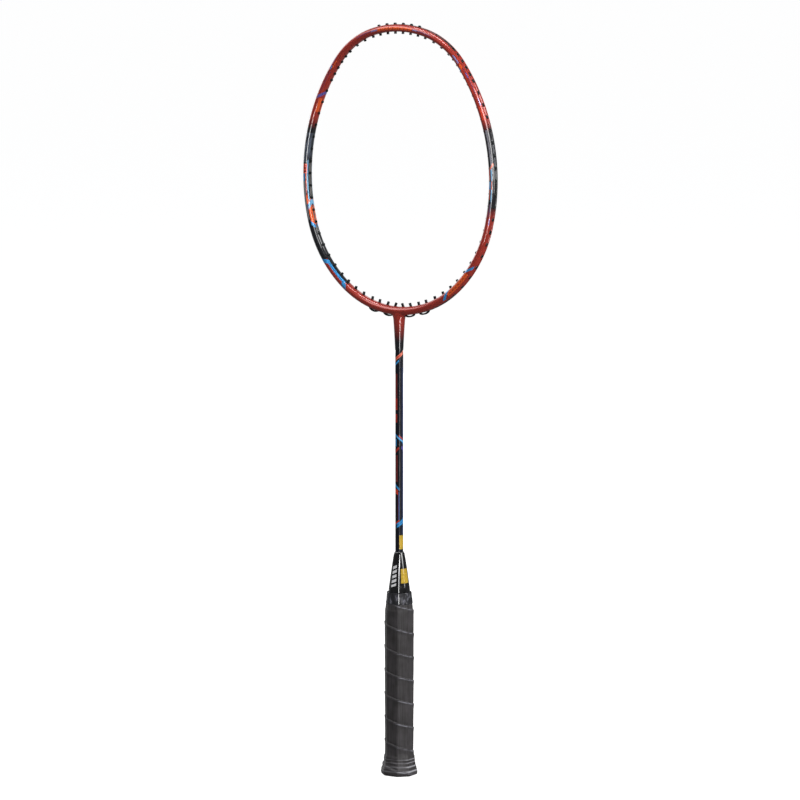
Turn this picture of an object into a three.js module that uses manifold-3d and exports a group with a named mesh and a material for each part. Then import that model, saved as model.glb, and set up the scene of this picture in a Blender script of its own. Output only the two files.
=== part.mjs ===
// Badminton racket without strings: a moulded carbon frame on a thin shaft, with a wrapped wooden handle.
// Millimetres. +Z runs from the butt to the head, the head lies in the XZ plane and -Y is the front.
// The origin is the centre of the butt's end face.

import * as THREE from 'three';
import { mergeVertices } from 'three/addons/utils/BufferGeometryUtils.js';
import Module from 'manifold-3d';

const wasm = await Module();
wasm.setup();

// ---- Driving dimensions ----

const GAP = 0.3; // clearance between pieces that are glued or pressed together

const HEAD_TOP_Z = 673.8;
// The head's outline as arcs of the tube's centre line, [radius, sweep in degrees], from the top down one side.
// One more arc closes it on the racket's centre line.
const HEAD_ARCS = [[95, 16], [70, 37.5], [173, 50], [108, 36.5]];
const ARC_STEP = 19; // longest straight stretch of the faceted tube
const ARC_STEP_SHARE = 0.11; // and the longest as a share of the arc's radius

const TUBE_HALF_DEPTH = 5.3; // through the face
const TUBE_HALF_WIDTH = 2.9; // in the head's plane, at the sides
const TOP_EXTRA_HALF_WIDTH = 0.35;
const BOTTOM_EXTRA_HALF_WIDTH = 0.8;
const TUBE_WALL = 1.0;
const GROOVE_DEPTH = 0.9;
const GROOVE_HALF_WIDTH = 2.0;
const GROOVE_LIP = 0.2; // how much wider the groove is at the rim than at its floor

// String holes on each half of the head, as [count, pitch] runs from the centre line outwards.
const TOP_HOLE_RUNS = [[4, 8.2], [3, 9.9], [5, 6.8]];
const BOTTOM_HOLE_RUNS = [[4, 8.0], [3, 9.9]];
const TOP_FIRST_HOLE = 4.1;
const BOTTOM_FIRST_HOLE = 5.8;
const SIDE_HOLE_COUNT = 17;
const TOP_STRIP_HOLES = 7; // on each half
const TIP_LENGTH = 1.2; // how far a barrel reaches into the head at the sides
const TOP_EXTRA_TIP = 0.9;
const BOTTOM_EXTRA_TIP = 1.8;

// Barrels of the bottom strips lean away from the neck, in degrees from straight down.
const INNER_LEAN = 23; // the two next to the throat
const OUTER_LEAN = 14; // at least, for the others
const LEAN_SHARE = 0.55; // of the angle between the tube's normal and straight down

const GROMMET_RADIUS = 1.3;
const GROMMET_BORE_RADIUS = 0.75;
const GROMMET_SIDES = 6;
const HOLE_RADIUS = 1.65;
const FLANGE_RADIUS = 1.65;
const FLANGE_HEIGHT = 1.0;
const TALL_FLANGE_HEIGHT = 2.0;
const TALL_FLANGES = 3; // on each side of the head's top
const BAND_HALF_WIDTH = 1.6;
const BAND_HEIGHT = 0.7;
const BAND_OVERHANG = 2.5; // how far a strip's band runs past its last hole
const BAND_START = 0.4; // and past the hole next to the throat
const BOW_RISE = 1.8; // how far a string guard bows out of the groove
const BOW_HEIGHT = 1.1;
const BOW_OVERHANG = 0.9; // how far it starts before its first hole and ends after its second
const BOW_FLATNESS = 0.6; // exponent of the sine it follows; a lower one gives a flatter middle
const BOW_PAIRS = [0, 2]; // number of the first hole of each pair a string guard spans

const NECK_BOTTOM_Z = 385;
const NECK_TOP_Z = 417;
// The neck as [height, half width in X, half width in Y].
const NECK_RINGS = [
  [NECK_BOTTOM_Z, 3.8, 3.8], [393, 4.15, 4.15], [403, 4.7, 4.65], [409, 5.1, 5.0], [NECK_TOP_Z, 5.3, 5.1],
];
const STEM_RADIUS = 2.2;
const STEM_BORE_TOP_Z = 419; // inside the hoop's hollow
const STEM_BOTTOM_Z = 352;
const CROSSBAR_HALF_LENGTH = 14;

const SHAFT_RADIUS = 3.55;
const SHAFT_BORE_RADIUS = STEM_RADIUS + GAP;
const SHAFT_BOTTOM_Z = 92;
const SHAFT_SEAT_GAP = 2; // between the shaft's end and the bottom of the core's bore

const CONE_TOP_Z = 203;
const CONE_BOTTOM_Z = 157;
const CORE_SHOULDER_Z = CONE_BOTTOM_Z - GAP;
const SPIGOT_RADIUS = 5.6; // core's round end, inside the cone
const SPIGOT_ROOT = 4; // how far it starts inside the core
const SPIGOT_TOP_Z = 181;
// The cone as [height, half width, roundness], which turns from the handle's octagon (0) into a circle (1).
const CONE_RINGS = [
  [CONE_BOTTOM_Z, 8.95, 0], [168, 8.8, 0], [176, 7.9, 0], [185, 6.75, 0.25], [194, 5.7, 0.6],
  [CONE_TOP_Z - 1, 4.6, 1], [CONE_TOP_Z, 4.3, 1],
];

const GRIP_HALF_X = 11.85;
const GRIP_HALF_Y = 11.55;
const CORNER_SHARE = 0.45; // where an octagon's corners start, as a share of its half width
const GRIP_WALL = 1.8;
const GRIP_TOP_Z = 166;
const GRIP_BOTTOM_Z = 0.8;
const CAP_TOP_Z = 3.2;
const CAP_HALF_X = 12.8;
const CAP_FACE_HALF_X = 11.6;
const CAP_CHAMFER = 1.0;
const TAPE_WALL = 0.3;
const TAPE_BOTTOM_Z = 154.5;
const TAPE_OVERHANG = 0.8; // how far it stands over the grip's upper edge

// Outside of the grip, as [height, half width in X] from the butt to the cone.
const GRIP_PROFILE = [
  [GRIP_BOTTOM_Z, 14.2], [3, 14.9], [5.6, 14.4], [9, 13.55], [13, 12.75], [17, 12.35], [23, 11.9],
  [32, GRIP_HALF_X], [144, GRIP_HALF_X], [152, 11.2], [159, 10.3], [GRIP_TOP_Z, 9.75],
];
// Inside of the grip, which is also the outside of the core and of the cone's foot, less the clearance.
const CORE_PROFILE = [
  [CAP_TOP_Z + GAP, CAP_HALF_X], [9, 12.2], [17, 10.6], [23, GRIP_HALF_X - GRIP_WALL],
  [144, GRIP_HALF_X - GRIP_WALL], [CORE_SHOULDER_Z, 9.0],
];
// The grip's outside under the finishing tape.
const TAPE_PROFILE = [[TAPE_BOTTOM_Z, 10.88], [159, 10.3], [GRIP_TOP_Z + TAPE_OVERHANG, 9.7]];

const ROUND_SEGMENTS = 16;
const HOLE_CUTTER_REACH = 9; // on both sides of the tube's centre line
const BORE_CUTTER_REACH = 12;
const OVERCUT = 1; // how far a cutter passes the end it opens

// ---- Solids ----

// A closed surface through a row of rings of points, capped at both ends unless it is a loop.
function skin(rings, isLoop = false) {
  const size = rings[0].length;
  const index = [];
  const last = isLoop ? rings.length : rings.length - 1;
  for (let row = 0; row < last; row += 1) {
    const here = row * size;
    const next = ((row + 1) % rings.length) * size;
    for (let k = 0; k < size; k += 1) {
      const beside = (k + 1) % size;
      index.push(here + k, here + beside, next + beside, here + k, next + beside, next + k);
    }
  }
  if (!isLoop) {
    const top = (rings.length - 1) * size;
    for (let k = 1; k < size - 1; k += 1) {
      index.push(0, k + 1, k, top, top + k, top + k + 1);
    }
  }
  const geometry = new THREE.BufferGeometry().setFromPoints(rings.flat());
  geometry.setIndex(index);
  return geometry;
}

function solidOf(geometry) {
  const bare = geometry.clone();
  bare.deleteAttribute('normal');
  bare.deleteAttribute('uv');
  const merged = mergeVertices(bare);
  return new wasm.Manifold(new wasm.Mesh({
    numProp: 3,
    vertProperties: new Float32Array(merged.attributes.position.array),
    triVerts: new Uint32Array(merged.index.array),
  }));
}

function geometryOf(solid) {
  const mesh = solid.getMesh();
  const geometry = new THREE.BufferGeometry();
  geometry.setAttribute('position', new THREE.BufferAttribute(mesh.vertProperties, 3));
  geometry.setIndex(new THREE.BufferAttribute(mesh.triVerts, 1));
  geometry.computeVertexNormals();
  return geometry;
}

function joined(solids) {
  return solids.reduce((whole, piece) => whole.add(piece));
}

function without(solid, cutters) {
  return cutters.reduce((rest, cutter) => rest.subtract(cutter), solid);
}

// A prism with its middle at a point and its axis along a direction.
function prism(middle, direction, radius, length, sides = GROMMET_SIDES) {
  const geometry = new THREE.CylinderGeometry(radius, radius, length, sides);
  geometry.applyQuaternion(turnTo(direction));
  geometry.translate(middle.x, middle.y, middle.z);
  return solidOf(geometry);
}

function turnTo(direction) {
  return new THREE.Quaternion().setFromUnitVectors(new THREE.Vector3(0, 1, 0), direction);
}

function uprightCylinder(radius, bottomZ, topZ) {
  const middle = new THREE.Vector3(0, 0, (bottomZ + topZ) / 2);
  return prism(middle, new THREE.Vector3(0, 0, 1), radius, topZ - bottomZ, ROUND_SEGMENTS);
}

// ---- The head's outline ----

// Heading is the angle of the outward normal from straight up: 0 at the top, PI at the throat.
function halfWidthAt(heading) {
  const extra = heading < Math.PI / 2 ? TOP_EXTRA_HALF_WIDTH : BOTTOM_EXTRA_HALF_WIDTH;
  return TUBE_HALF_WIDTH + extra * Math.cos(heading) ** 2;
}

function outlineArcs() {
  const arcs = [];
  let heading = 0;
  let x = 0;
  let z = HEAD_TOP_Z - halfWidthAt(0);
  let start = 0;
  const addArc = (radius, sweep) => {
    const centreX = x - radius * Math.sin(heading);
    const centreZ = z - radius * Math.cos(heading);
    arcs.push({ centreX, centreZ, radius, heading, sweep, start });
    heading += sweep;
    start += radius * sweep;
    x = centreX + radius * Math.sin(heading);
    z = centreZ + radius * Math.cos(heading);
  };
  for (const [radius, degrees] of HEAD_ARCS) {
    addArc(radius, THREE.MathUtils.degToRad(degrees));
  }
  addArc(x / Math.sin(heading), Math.PI - heading);
  return { arcs, length: start };
}

const outline = outlineArcs();

// The place at a distance along the outline, clockwise from the top. Past the throat it comes up the left.
function stationAt(distance) {
  const side = distance > outline.length ? -1 : 1;
  const s = side > 0 ? distance : 2 * outline.length - distance;
  const arc = outline.arcs.findLast((one) => one.start <= s);
  const heading = arc.heading + (s - arc.start) / arc.radius;
  const normal = new THREE.Vector3(side * Math.sin(heading), 0, Math.cos(heading));
  const centre = new THREE.Vector3(
    side * (arc.centreX + arc.radius * Math.sin(heading)),
    0,
    arc.centreZ + arc.radius * Math.cos(heading),
  );
  return { centre, normal, heading, side, halfWidth: halfWidthAt(heading) };
}

// A point of a tube section: outward in the head's plane, and forward through the face.
function pointAt(station, outward, forward) {
  const point = station.centre.clone().addScaledVector(station.normal, outward);
  point.y = -forward;
  return point;
}

function loopDistances() {
  const distances = [];
  for (const arc of outline.arcs) {
    const length = arc.radius * arc.sweep;
    const steps = Math.ceil(length / Math.min(ARC_STEP, arc.radius * ARC_STEP_SHARE));
    for (let step = 0; step < steps; step += 1) {
      distances.push(arc.start + (length * step) / steps);
    }
  }
  const mirrored = distances.slice(1).reverse().map((distance) => 2 * outline.length - distance);
  return [...distances, outline.length, ...mirrored];
}

// ---- Tube sections, as [outward, forward] points of the front half from outside to inside ----

function mirroredSection(frontHalf) {
  const backHalf = frontHalf.map(([outward, forward]) => [outward, -forward]).reverse();
  return [...frontHalf, ...backHalf];
}

function tubeSection(halfWidth) {
  return mirroredSection([
    [halfWidth - GROOVE_DEPTH, GROOVE_HALF_WIDTH],
    [halfWidth, GROOVE_HALF_WIDTH + GROOVE_LIP],
    [0.55 * halfWidth, 4.6],
    [-0.1 * halfWidth, TUBE_HALF_DEPTH],
    [-0.75 * halfWidth, 4.0],
    [-halfWidth, 1.9],
  ]);
}

// The hollow inside the tube, or with an inset a piece that fits it.
function cavitySection(halfWidth, inset = 0) {
  const floor = halfWidth - GROOVE_DEPTH - TUBE_WALL - inset;
  const inner = -halfWidth + TUBE_WALL + inset;
  return mirroredSection([
    [floor, 2.7 - inset],
    [0.1, TUBE_HALF_DEPTH - 1.1 * TUBE_WALL - inset],
    [inner, 1.5 - inset],
  ]);
}

function sweptRings(distances, sectionOf) {
  return distances.map((distance) => {
    const station = stationAt(distance);
    return sectionOf(station.halfWidth).map(([outward, forward]) => pointAt(station, outward, forward));
  });
}

// ---- String holes ----

function runDistances(first, runs) {
  const distances = [];
  let distance = first;
  for (const [count, pitch] of runs) {
    for (let step = 0; step < count; step += 1) {
      if (distances.length > 0) {
        distance += pitch;
      }
      distances.push(distance);
    }
  }
  return distances;
}

// Barrels near the throat lean further than the tube's normal, so that they clear the neck.
function leanAt(station, indexFromThroat) {
  const fromNormal = Math.PI - station.heading;
  const least = THREE.MathUtils.degToRad(indexFromThroat < 2 ? INNER_LEAN : OUTER_LEAN);
  return Math.max(least, LEAN_SHARE * fromNormal);
}

function holeAt(distance, side, indexFromThroat) {
  const station = stationAt(side > 0 ? distance : 2 * outline.length - distance);
  const outward = station.normal.clone();
  let exitDistance = distance;
  if (indexFromThroat !== undefined) {
    const lean = leanAt(station, indexFromThroat);
    outward.set(side * Math.sin(lean), 0, -Math.cos(lean));
    const seat = station.halfWidth - GROOVE_DEPTH;
    exitDistance -= seat * Math.tan(lean - (Math.PI - station.heading));
  }
  const along = outward.dot(station.normal);
  const inside = (station.halfWidth + tipLengthAt(station.heading)) / along;
  return { station, outward, along, inside, exitDistance, side };
}

function tipLengthAt(heading) {
  const extra = heading < Math.PI / 2 ? TOP_EXTRA_TIP : BOTTOM_EXTRA_TIP;
  return TIP_LENGTH + extra * Math.cos(heading) ** 2;
}

const topDistances = runDistances(TOP_FIRST_HOLE, TOP_HOLE_RUNS);
const bottomDistances = runDistances(BOTTOM_FIRST_HOLE, BOTTOM_HOLE_RUNS)
  .map((distance) => outline.length - distance);

function sideDistances() {
  const first = topDistances.at(-1);
  const pitch = (bottomDistances.at(-1) - first) / (SIDE_HOLE_COUNT + 1);
  return Array.from({ length: SIDE_HOLE_COUNT }, (_, k) => first + pitch * (k + 1));
}

function holesOfHalf(side) {
  const singles = [...topDistances.slice(TOP_STRIP_HOLES), ...sideDistances()];
  return {
    top: topDistances.slice(0, TOP_STRIP_HOLES).map((distance) => holeAt(distance, side)),
    single: singles.map((distance) => holeAt(distance, side)),
    bottom: bottomDistances.map((distance, k) => holeAt(distance, side, k)),
  };
}

const rightHoles = holesOfHalf(1);
const leftHoles = holesOfHalf(-1);
const allHoles = [rightHoles, leftHoles].flatMap(({ top, single, bottom }) => [...top, ...single, ...bottom]);

// A prism along a hole, from a depth inside the tube's centre line to one outside it.
function alongHole(hole, radius, inside, outside) {
  const middle = hole.station.centre.clone().addScaledVector(hole.outward, (outside - inside) / 2);
  return prism(middle, hole.outward, radius, inside + outside);
}

const holeCutters = allHoles.map((hole) => (
  alongHole(hole, HOLE_RADIUS, HOLE_CUTTER_REACH, HOLE_CUTTER_REACH)
));

// ---- Frame, T-piece and shaft ----

// Points around an ellipse in a level plane.
function ellipseRing(z, radiusX, radiusY, count = ROUND_SEGMENTS) {
  return Array.from({ length: count }, (_, k) => {
    const angle = (2 * Math.PI * (k + 0.5)) / count;
    return new THREE.Vector3(radiusX * Math.cos(angle), radiusY * Math.sin(angle), z);
  });
}

function frameGeometry() {
  const distances = loopDistances();
  const tube = solidOf(skin(sweptRings(distances, tubeSection), true));
  const hollow = solidOf(skin(sweptRings(distances, (halfWidth) => cavitySection(halfWidth)), true));
  const neck = solidOf(skin(NECK_RINGS.map(([z, radiusX, radiusY]) => ellipseRing(z, radiusX, radiusY))));
  const stemBore = uprightCylinder(STEM_RADIUS + GAP, NECK_BOTTOM_Z - OVERCUT, STEM_BORE_TOP_Z);
  return geometryOf(without(joined([tube, neck]), [hollow, stemBore, ...holeCutters]));
}

function tPieceGeometry() {
  const steps = 4;
  const distances = Array.from({ length: 2 * steps + 1 }, (_, k) => (
    outline.length + CROSSBAR_HALF_LENGTH * (k / steps - 1)
  ));
  const crossbar = solidOf(skin(sweptRings(distances, (halfWidth) => cavitySection(halfWidth, GAP))));
  const throatZ = stationAt(outline.length).centre.z;
  const stem = uprightCylinder(STEM_RADIUS, STEM_BOTTOM_Z, throatZ);
  return geometryOf(without(joined([crossbar, stem]), holeCutters));
}

function ringProfile(points) {
  return [...points, points[0]].map(([radius, height]) => new THREE.Vector2(radius, height));
}

function shaftGeometry() {
  const topZ = NECK_BOTTOM_Z - GAP;
  const profile = ringProfile([
    [SHAFT_BORE_RADIUS, SHAFT_BOTTOM_Z],
    [SHAFT_RADIUS, SHAFT_BOTTOM_Z],
    [SHAFT_RADIUS, topZ],
    [SHAFT_BORE_RADIUS, topZ],
  ]);
  const geometry = new THREE.LatheGeometry(profile, ROUND_SEGMENTS);
  geometry.rotateX(Math.PI / 2);
  return geometry;
}

// ---- Grommets ----

// One grommet about the Y axis, which points out of the head; its origin lies on the tube's centre line.
function grommetGeometry(hole) {
  const seat = hole.station.halfWidth - GROOVE_DEPTH + GAP;
  const profile = ringProfile([
    [GROMMET_BORE_RADIUS, -hole.inside],
    [GROMMET_RADIUS, -hole.inside],
    [GROMMET_RADIUS, seat],
    [FLANGE_RADIUS, seat],
    [FLANGE_RADIUS, seat + FLANGE_HEIGHT],
    [GROMMET_BORE_RADIUS, seat + FLANGE_HEIGHT],
  ]);
  return new THREE.LatheGeometry(profile, GROMMET_SIDES);
}

// A bent bar that follows the groove between two distances. Its floor and height run along its length.
function grooveBar(from, to, steps, floorAt, height) {
  const rings = [];
  for (let step = 0; step <= steps; step += 1) {
    const share = step / steps;
    const station = stationAt(from + (to - from) * share);
    const floor = station.halfWidth - GROOVE_DEPTH + GAP + floorAt(share);
    rings.push([
      pointAt(station, floor, -BAND_HALF_WIDTH),
      pointAt(station, floor + height, -BAND_HALF_WIDTH),
      pointAt(station, floor + height, BAND_HALF_WIDTH),
      pointAt(station, floor, BAND_HALF_WIDTH),
    ]);
  }
  return solidOf(skin(rings));
}

function stripGeometry(bars, holes, flangedHoles, tallFlangedHoles = []) {
  const barrels = [];
  for (const hole of holes) {
    const seat = (hole.station.halfWidth - GROOVE_DEPTH + GAP) / hole.along;
    barrels.push(alongHole(hole, GROMMET_RADIUS, hole.inside, seat + 0.5 * BAND_HEIGHT));
  }
  const flangeAt = (hole, height) => {
    const middle = pointAt(stationAt(onLoop(hole)), hole.station.halfWidth - GROOVE_DEPTH + GAP, 0);
    middle.addScaledVector(hole.station.normal, height / 2);
    return prism(middle, hole.station.normal, FLANGE_RADIUS, height);
  };
  const flanges = [
    ...flangedHoles.map((hole) => flangeAt(hole, FLANGE_HEIGHT)),
    ...tallFlangedHoles.map((hole) => flangeAt(hole, TALL_FLANGE_HEIGHT)),
  ];
  const bores = holes.map((hole) => (
    alongHole(hole, GROMMET_BORE_RADIUS, BORE_CUTTER_REACH, BORE_CUTTER_REACH)
  ));
  return geometryOf(without(joined([...bars, ...barrels, ...flanges]), bores));
}

function onLoop(hole) {
  return hole.side > 0 ? hole.exitDistance : 2 * outline.length - hole.exitDistance;
}

function topStripGeometry() {
  const holes = [...leftHoles.top, ...rightHoles.top];
  const reach = topDistances[TOP_STRIP_HOLES - 1] + BAND_OVERHANG;
  const steps = 6;
  const fullTurn = 2 * outline.length;
  const right = grooveBar(0, reach, steps, () => 0, BAND_HEIGHT);
  const left = grooveBar(fullTurn - reach, fullTurn, steps, () => 0, BAND_HEIGHT);
  const tallFlanged = [leftHoles, rightHoles].flatMap(({ top }) => top.slice(0, TALL_FLANGES));
  const flanged = holes.filter((hole) => !tallFlanged.includes(hole));
  return stripGeometry([left, right], holes, flanged, tallFlanged);
}

// Between the throat and the lower shoulder; string guards bow over each of the two inner pairs of holes.
function bottomStripGeometry(holes) {
  const [from, to] = [holes[0], holes.at(-1)].map(onLoop);
  const turn = Math.sign(to - from);
  const ordered = (a, b, steps, floorAt, height) => (
    grooveBar(Math.min(a, b), Math.max(a, b), steps, floorAt, height)
  );
  const bars = [ordered(from - turn * BAND_START, to + turn * BAND_OVERHANG, 12, () => 0, BAND_HEIGHT)];
  for (const first of BOW_PAIRS) {
    const [near, far] = [holes[first], holes[first + 1]].map(onLoop);
    const bow = (share) => BOW_RISE * Math.sin(Math.PI * share) ** BOW_FLATNESS;
    bars.push(ordered(near - turn * BOW_OVERHANG, far + turn * BOW_OVERHANG, 8, bow, BOW_HEIGHT));
  }
  return stripGeometry(bars, holes, holes.slice(BOW_PAIRS.at(-1) + 2));
}

// ---- Handle ----

// Points around an octagon in a level plane. Growth adds to every half width.
function octagonRing(z, halfX, growth = 0) {
  const x = halfX + growth;
  const y = (halfX * GRIP_HALF_Y) / GRIP_HALF_X + growth;
  const corners = [
    [x, y * CORNER_SHARE], [x * CORNER_SHARE, y], [-x * CORNER_SHARE, y], [-x, y * CORNER_SHARE],
    [-x, -y * CORNER_SHARE], [-x * CORNER_SHARE, -y], [x * CORNER_SHARE, -y], [x, -y * CORNER_SHARE],
  ];
  return corners.map(([cornerX, cornerY]) => new THREE.Vector3(cornerX, cornerY, z));
}

function gripGeometry() {
  const outside = solidOf(skin(GRIP_PROFILE.map(([z, halfX]) => octagonRing(z, halfX))));
  const pocket = solidOf(skin([
    octagonRing(-OVERCUT, CAP_HALF_X, GAP),
    ...CORE_PROFILE.map(([z, halfX]) => octagonRing(z, halfX, GAP)),
    octagonRing(GRIP_TOP_Z + OVERCUT, CORE_PROFILE.at(-1)[1], GAP),
  ]));
  return geometryOf(outside.subtract(pocket));
}

function buttCapGeometry() {
  return skin([
    octagonRing(0, CAP_FACE_HALF_X),
    octagonRing(CAP_CHAMFER, CAP_HALF_X),
    octagonRing(CAP_TOP_Z, CAP_HALF_X),
  ]);
}

function handleCoreGeometry() {
  const body = solidOf(skin(CORE_PROFILE.map(([z, halfX]) => octagonRing(z, halfX))));
  const spigot = uprightCylinder(SPIGOT_RADIUS, CORE_SHOULDER_Z - SPIGOT_ROOT, SPIGOT_TOP_Z);
  const bore = uprightCylinder(SHAFT_RADIUS + GAP, SHAFT_BOTTOM_Z - SHAFT_SEAT_GAP, SPIGOT_TOP_Z + OVERCUT);
  return geometryOf(body.add(spigot).subtract(bore));
}

// Points around the handle's octagon, moved toward a circle by a roundness.
function coneRing(z, half, roundness) {
  const octagon = octagonRing(z, half);
  const ring = [];
  octagon.forEach((corner, k) => {
    const next = octagon[(k + 1) % octagon.length];
    ring.push(corner, corner.clone().lerp(next, 0.5));
  });
  return ring.map((point) => {
    const angle = Math.atan2(point.y, point.x);
    const round = new THREE.Vector3(half * Math.cos(angle), half * Math.sin(angle), z);
    return point.clone().lerp(round, roundness);
  });
}

function coneGeometry() {
  const outside = solidOf(skin(CONE_RINGS.map(([z, half, roundness]) => coneRing(z, half, roundness))));
  const shaftBore = uprightCylinder(SHAFT_RADIUS + GAP, CONE_BOTTOM_Z - OVERCUT, CONE_TOP_Z + OVERCUT);
  const spigotPocket = uprightCylinder(SPIGOT_RADIUS + GAP, CONE_BOTTOM_Z - OVERCUT, SPIGOT_TOP_Z + GAP);
  return geometryOf(without(outside, [shaftBore, spigotPocket]));
}

function finishingTapeGeometry() {
  const ringsAt = (growth) => TAPE_PROFILE.map(([z, halfX]) => octagonRing(z, halfX, growth));
  const outside = solidOf(skin(ringsAt(GAP + TAPE_WALL)));
  const inside = solidOf(skin([
    octagonRing(TAPE_BOTTOM_Z - OVERCUT, TAPE_PROFILE[0][1], GAP),
    ...ringsAt(GAP),
    octagonRing(GRIP_TOP_Z + TAPE_OVERHANG + OVERCUT, TAPE_PROFILE.at(-1)[1], GAP),
  ]));
  return geometryOf(outside.subtract(inside));
}

// ---- Assembly ----

function material(color, roughness, metalness = 0) {
  return new THREE.MeshStandardMaterial({ color, roughness, metalness });
}

const redLacquer = material(0xa51c1a, 0.22, 0.35);
const blackLacquer = material(0x14151d, 0.25, 0.1);
const glossBlack = material(0x08080a, 0.15);
const charcoalWrap = material(0x3a3a3e, 0.7);
const clearTape = material(0x515157, 0.2);
const blackNylon = material(0x12181a, 0.45);
const ashWood = material(0xc9a572, 0.75);
const greyNylon = material(0x555a60, 0.6);

const racket = new THREE.Group();

function addPart(name, geometry, look) {
  const mesh = new THREE.Mesh(geometry, look);
  mesh.name = name;
  racket.add(mesh);
  return mesh;
}

addPart('frame', frameGeometry(), redLacquer);
addPart('t_piece', tPieceGeometry(), greyNylon);
addPart('shaft', shaftGeometry(), blackLacquer);
addPart('cone', coneGeometry(), glossBlack);
addPart('handle_core', handleCoreGeometry(), ashWood);
addPart('butt_cap', buttCapGeometry(), blackNylon);
addPart('grip', gripGeometry(), charcoalWrap);
addPart('finishing_tape', finishingTapeGeometry(), clearTape);
addPart('top_strip', topStripGeometry(), blackNylon);
addPart('bottom_strip_right', bottomStripGeometry(rightHoles.bottom), blackNylon);
addPart('bottom_strip_left', bottomStripGeometry(leftHoles.bottom), blackNylon);

for (const [sideName, holes] of [['right', rightHoles.single], ['left', leftHoles.single]]) {
  holes.forEach((hole, k) => {
    const number = String(k + 1).padStart(2, '0');
    const grommet = addPart(`grommet_${sideName}_${number}`, grommetGeometry(hole), blackNylon);
    grommet.position.copy(hole.station.centre);
    grommet.quaternion.copy(turnTo(hole.outward));
  });
}

export default racket;
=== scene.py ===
# Badminton racket without strings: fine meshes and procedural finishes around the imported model.
# Metres. +Z runs from the butt to the head, the head lies in the XZ plane and -Y is the front.

import math

import bmesh
import bpy
import numpy as np
from mathutils import Matrix, Vector, noise


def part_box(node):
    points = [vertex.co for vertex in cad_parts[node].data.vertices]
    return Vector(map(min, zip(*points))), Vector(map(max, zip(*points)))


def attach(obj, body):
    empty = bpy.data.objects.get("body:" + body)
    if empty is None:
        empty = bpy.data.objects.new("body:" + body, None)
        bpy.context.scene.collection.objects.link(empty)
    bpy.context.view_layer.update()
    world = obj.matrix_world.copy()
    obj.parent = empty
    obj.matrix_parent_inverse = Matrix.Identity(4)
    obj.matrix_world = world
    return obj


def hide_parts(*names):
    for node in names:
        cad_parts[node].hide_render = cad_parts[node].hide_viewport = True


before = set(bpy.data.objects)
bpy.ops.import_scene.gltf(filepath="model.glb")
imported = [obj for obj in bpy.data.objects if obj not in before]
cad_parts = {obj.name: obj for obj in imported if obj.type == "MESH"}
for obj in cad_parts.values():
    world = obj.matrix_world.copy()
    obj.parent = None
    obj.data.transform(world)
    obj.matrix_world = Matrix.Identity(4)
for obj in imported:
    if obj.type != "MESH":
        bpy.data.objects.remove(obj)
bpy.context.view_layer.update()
scene = bpy.context.scene

MM = 0.001

# ---- Places read from the frame ----


def low(node):
    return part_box(node)[0]


def high(node):
    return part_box(node)[1]


HEAD_TOP = high("frame").z
NECK_BOTTOM = low("frame").z
TUBE_DEPTH = high("frame").y  # half of it, through the face
SHAFT_TOP = high("shaft").z
SHAFT_BOTTOM = low("shaft").z
SHAFT_RADIUS = high("shaft").y
GRIP_TOP = high("grip").z
TAPE_TOP = high("finishing_tape").z
FILM_BOTTOM = low("finishing_tape").z + 1.8 * MM  # the film ends a little above the CAD's band

# ---- Driving dimensions of the head ----

# Arcs of the tube's centre line, from the top down one side: (radius, sweep in degrees); one more closes it.
HEAD_ARCS = ((0.095, 16), (0.070, 37.5), (0.173, 50), (0.108, 36.5))
TUBE_WIDTH = 2.9 * MM  # half of it, in the head's plane
TOP_EXTRA_WIDTH = 0.35 * MM
BOTTOM_EXTRA_WIDTH = 0.8 * MM
GROOVE_DEPTH = 0.9 * MM
GROOVE_WIDTH = 2.0 * MM  # half of it

TOP_HOLE_RUNS = ((4, 8.2 * MM), (3, 9.9 * MM), (5, 6.8 * MM))  # (count, pitch) from the middle outwards
BOTTOM_HOLE_RUNS = ((4, 8.0 * MM), (3, 9.9 * MM))
TOP_FIRST_HOLE = 4.1 * MM
BOTTOM_FIRST_HOLE = 5.8 * MM
SIDE_HOLES = 17
TOP_STRIP_HOLES = 7  # on each half
TIP_LENGTH = 1.2 * MM  # how far a barrel reaches into the head at the sides
TOP_EXTRA_TIP = 0.7 * MM
BOTTOM_EXTRA_TIP = 1.9 * MM

# Barrels of the bottom strips lean away from the neck, measured from straight down.
INNER_LEAN = math.radians(23)  # the two next to the throat
OUTER_LEAN = math.radians(14)  # at least, for the others
INNER_LEANING = 2
LEAN_SHARE = 0.55  # of the angle between the tube's normal and straight down

BARREL_RADIUS = 1.2 * MM
BORE_RADIUS = 0.7 * MM
HOLE_RADIUS = 1.5 * MM
FLANGE_RADIUS = 1.75 * MM
FLANGE_HEIGHT = 1.0 * MM
TALL_FLANGE_RADIUS = 1.5 * MM
TALL_FLANGE_HEIGHT = 2.3 * MM
TALL_FLANGES = 3  # on each side of the head's top
BAND_WIDTH = 1.65 * MM  # half of it
BAND_HEIGHT = 0.75 * MM
BAND_START = 0.4 * MM  # how far a strip's band runs past the hole next to the throat
BAND_OVERHANG = 2.5 * MM  # and past its last hole
BOW_RISE = 1.7 * MM
BOW_HEIGHT = 1.35 * MM
BOW_WIDTH = 1.55 * MM  # half of it
BOW_OVERHANG = 0.9 * MM
BOW_FLATNESS = 0.6  # exponent of the sine it follows; a lower one gives a flatter middle
BOW_PAIRS = (0, 2)  # number of the first hole of each pair that a string guard spans
PLAIN_BOTTOM_HOLES = 4  # next to the throat, under the string guards
SEAT_GAP = 0.1 * MM

# ---- Driving dimensions of the handle ----

GRIP_X = 11.85 * MM
GRIP_Y = 11.55 * MM
CORNER_SHARE = 0.45  # where an octagon's corners start, as a share of its half width
WRAP_PITCH = 21.4 * MM
WRAP_TURN = math.radians(-42.5)  # turns the wrap so that its seams come where they should
WRAP_RIDGE = 0.5 * MM
GRIP_WALL = 1.5 * MM

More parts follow.
